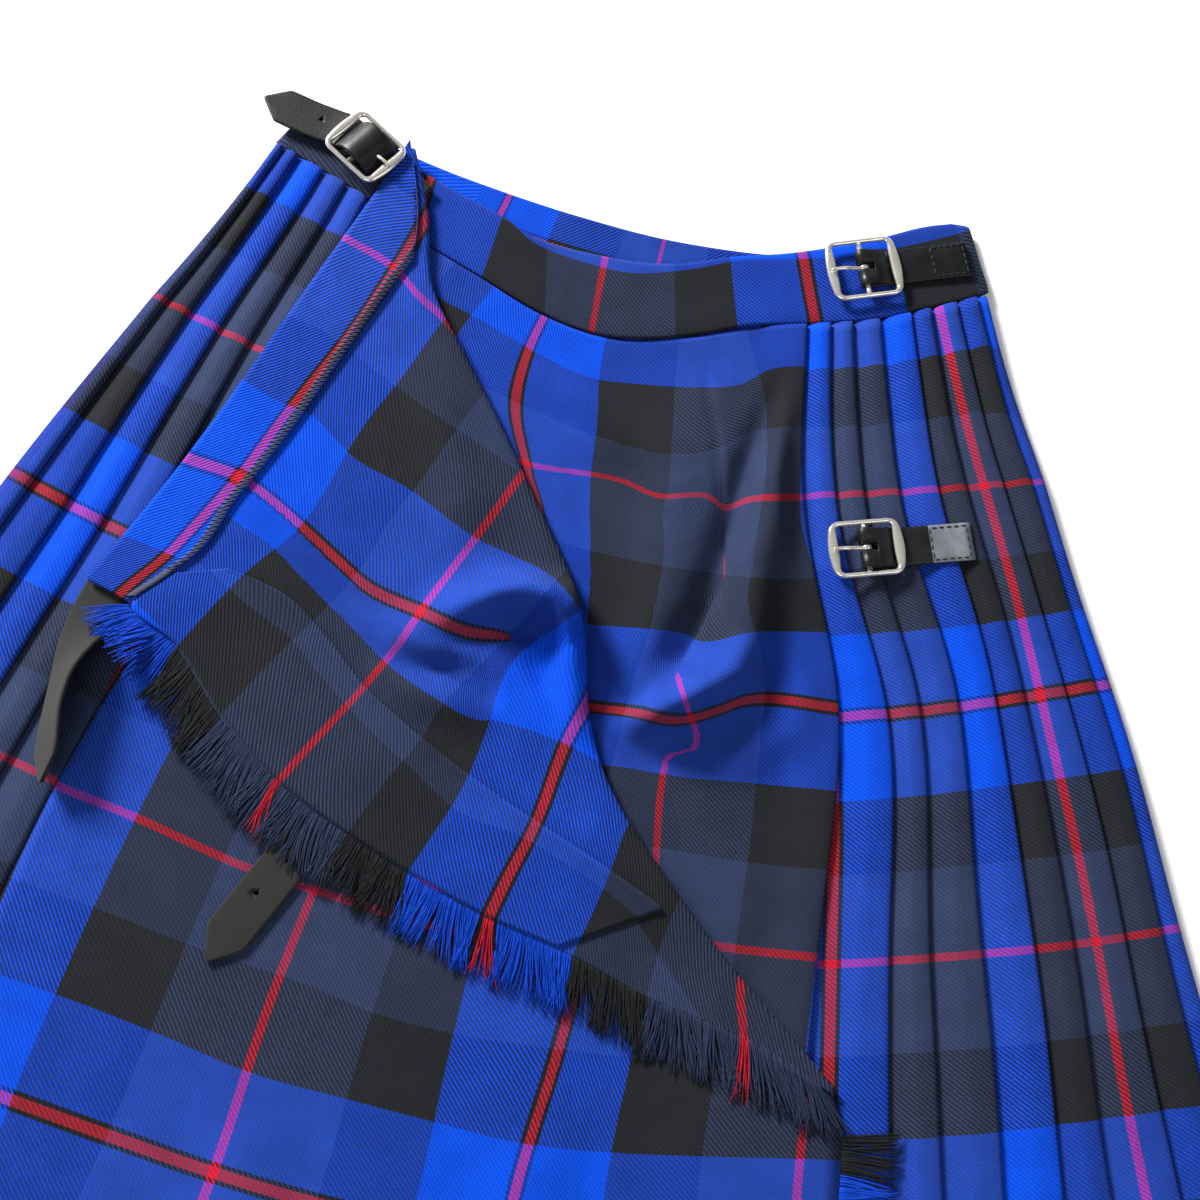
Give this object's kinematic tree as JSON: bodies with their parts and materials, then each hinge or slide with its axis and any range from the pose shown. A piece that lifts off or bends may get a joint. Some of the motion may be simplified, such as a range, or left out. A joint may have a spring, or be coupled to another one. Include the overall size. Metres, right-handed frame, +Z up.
{
  "type": "wrap skirt",
  "caption": "Pleated wrap skirt in check cloth laid flat and unbuckled, with a fringed front apron folded back at one corner and leather straps with buckles.",
  "frame": {"origin": "middle of the laid skirt on the plan, on the surface that it lies on", "axes": "+Z up from the surface, +Y towards the waist, +X to the right seen from above"},
  "size_m": [0.766, 0.6838, 0.0238],
  "materials": {
    "tartan_cloth": "matt woven wool twill in a blue, black and red check",
    "band_cloth": "matt woven wool twill, the same check",
    "facing_cloth": "matt woven wool twill, wrong side",
    "fringe_yarn": "matt loose yarns",
    "strap_leather": "satin black on the face, suede on the back",
    "buckle_metal": "polished nickel plate"
  },
  "bodies": {
    "skirt": {"pleated_panel": "tartan_cloth", "under_apron": "tartan_cloth", "over_apron": "tartan_cloth", "waistband": "band_cloth", "flap_waist_facing": "facing_cloth", "flap_edge_facing": "facing_cloth", "flap_fringe": "fringe_yarn", "hem_fringe": "fringe_yarn", "waist_strap_fastened": "strap_leather", "apron_waist_strap": "strap_leather", "apron_hip_strap": "strap_leather", "left_waist_tab": "strap_leather", "right_waist_tab": "strap_leather", "right_hip_tab": "strap_leather", "left_waist_frame": "buckle_metal", "right_waist_frame": "buckle_metal", "right_hip_frame": "buckle_metal", "left_waist_prong": "buckle_metal"},
    "right_waist_prong": {"right_waist_prong": "buckle_metal"},
    "right_hip_prong": {"right_hip_prong": "buckle_metal"}
  },
  "joints": [
    {"name": "right_waist_prong_hinge", "type": "hinge", "parent": "skirt", "child": "right_waist_prong", "pos_m": [0.1108, 0.3054, 0.0104], "axis": [-0.3338, 0.9426, 0], "range_deg": [0, 110]},
    {"name": "right_hip_prong_hinge", "type": "hinge", "parent": "skirt", "child": "right_hip_prong", "pos_m": [0.129, 0.1699, 0.0114], "axis": [-0.2756, 0.9613, 0], "range_deg": [0, 110]}
  ]
}
